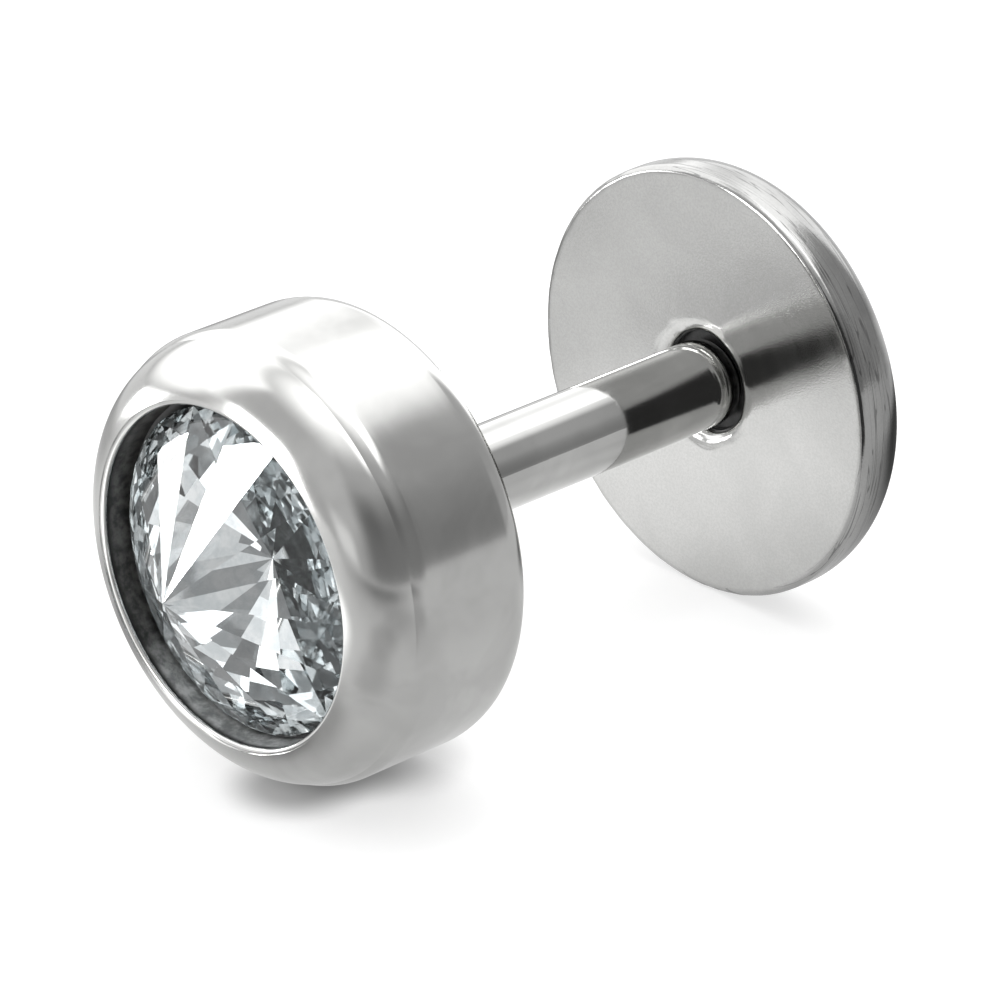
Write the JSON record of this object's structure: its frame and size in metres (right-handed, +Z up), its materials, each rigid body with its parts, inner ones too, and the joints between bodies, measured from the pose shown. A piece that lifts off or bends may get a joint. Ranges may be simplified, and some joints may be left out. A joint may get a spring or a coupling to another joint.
{
  "type": "piercing stud",
  "caption": "Screw-on piercing stud: a round steel cup set with a clear faceted crystal, a straight post and a flat back disc that unscrews.",
  "frame": {"origin": "centre of the bounding box, on the surface the stud lies on", "axes": "+Y along the stud's axis from the crystal towards the back disc, +Z up, +X to the right when facing the crystal's back along +Y"},
  "size_m": [0.006, 0.0106, 0.006],
  "materials": {
    "polished_steel": "polished",
    "post_steel": "polished",
    "satin_steel": "fine satin",
    "crystal_glass": "clear, faceted"
  },
  "bodies": {
    "stud": {"bezel_cup": "polished_steel", "crystal": "crystal_glass", "post": "post_steel"},
    "disc": {"back_disc": "satin_steel"}
  },
  "joints": [
    {"name": "disc_unscrew", "type": "slide", "parent": "stud", "child": "disc", "axis": [0, 1, 0], "range_m": [0, 0.01]}
  ]
}
